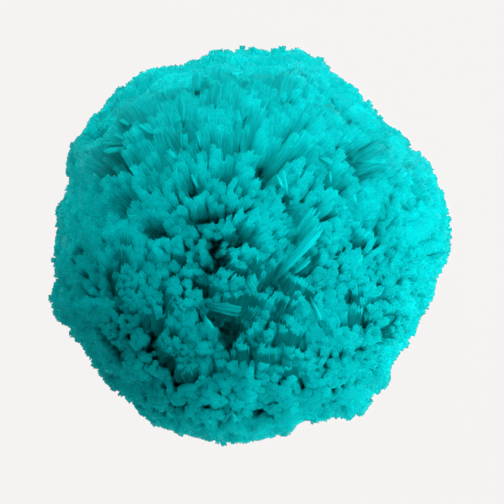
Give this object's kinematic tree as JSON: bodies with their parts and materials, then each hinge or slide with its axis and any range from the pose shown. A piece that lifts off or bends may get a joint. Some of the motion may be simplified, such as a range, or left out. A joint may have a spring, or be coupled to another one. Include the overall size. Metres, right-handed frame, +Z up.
{
  "type": "yarn pom pom",
  "caption": "Round pom pom of cut turquoise yarn whose ends stand out from a tied middle, resting on a small flat spot.",
  "frame": {"origin": "on the floor, under the middle of the bounding box", "axes": "+Z up out of the flat spot, +X along the widest way across, +Y across it"},
  "size_m": [0.0802, 0.0792, 0.0769],
  "materials": {
    "yarn": "fuzzy, matt"
  },
  "bodies": {
    "root": {"yarn_pom_pom": "yarn"}
  },
  "joints": []
}
